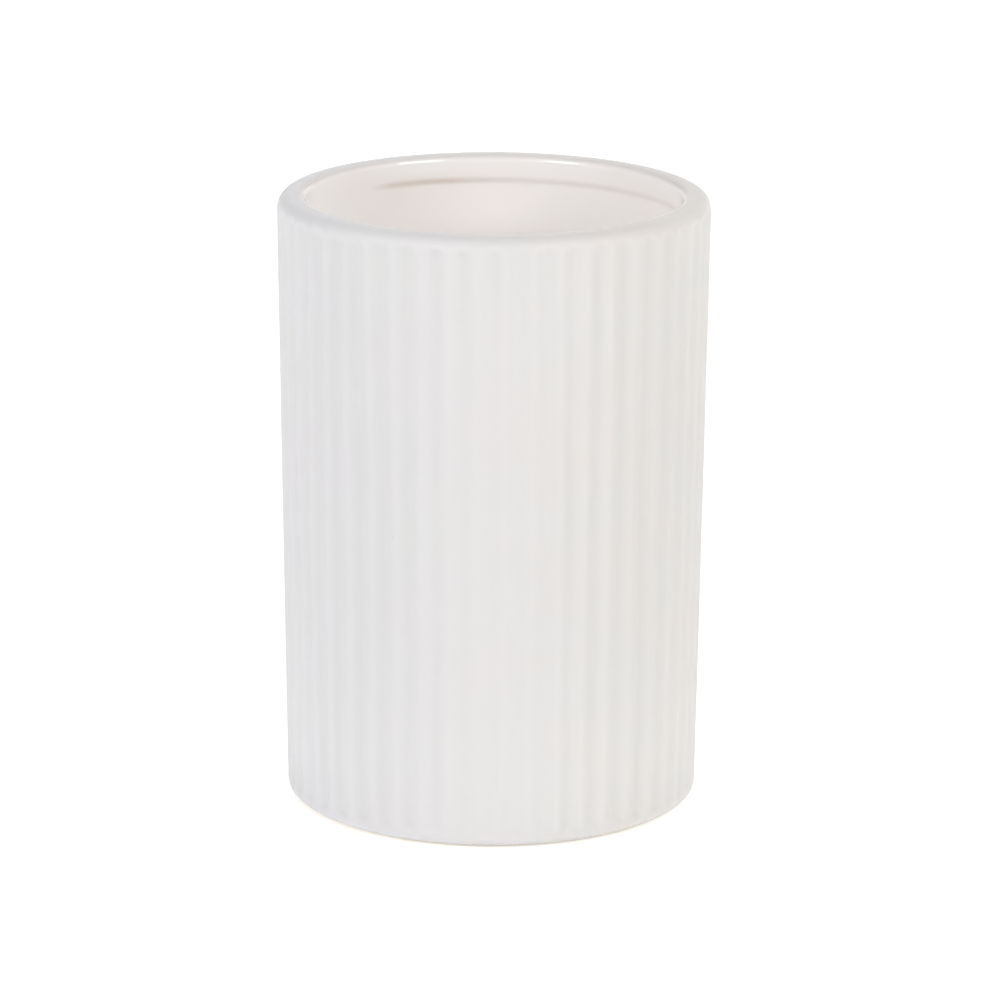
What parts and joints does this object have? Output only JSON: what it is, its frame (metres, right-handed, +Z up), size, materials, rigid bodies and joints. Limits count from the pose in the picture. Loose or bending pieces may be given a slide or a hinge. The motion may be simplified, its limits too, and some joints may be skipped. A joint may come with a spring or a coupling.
{
  "type": "bathroom tumbler",
  "caption": "Fluted stoneware tumbler with a thick rounded rim and a lip inside, satin outside and gloss inside; holds toothbrushes or rinsing water on a washstand.",
  "frame": {"origin": "on the axis, on the surface that the tumbler stands on", "axes": "+Z up along the axis; -Y towards the viewer of the picture, with a groove facing it; +X to the viewer's right"},
  "size_m": [0.0732, 0.0732, 0.105],
  "materials": {
    "stoneware": "unglazed fired stoneware, bare only at the foot",
    "satin_glaze": "satin white glaze",
    "gloss_glaze": "gloss warm white glaze",
    "silicone": "clear soft silicone"
  },
  "bodies": {
    "root": {"stoneware_body": "stoneware", "outer_glaze": "satin_glaze", "inner_glaze": "gloss_glaze", "grip_pad_1": "silicone", "grip_pad_2": "silicone", "grip_pad_3": "silicone", "grip_pad_4": "silicone"}
  },
  "joints": []
}
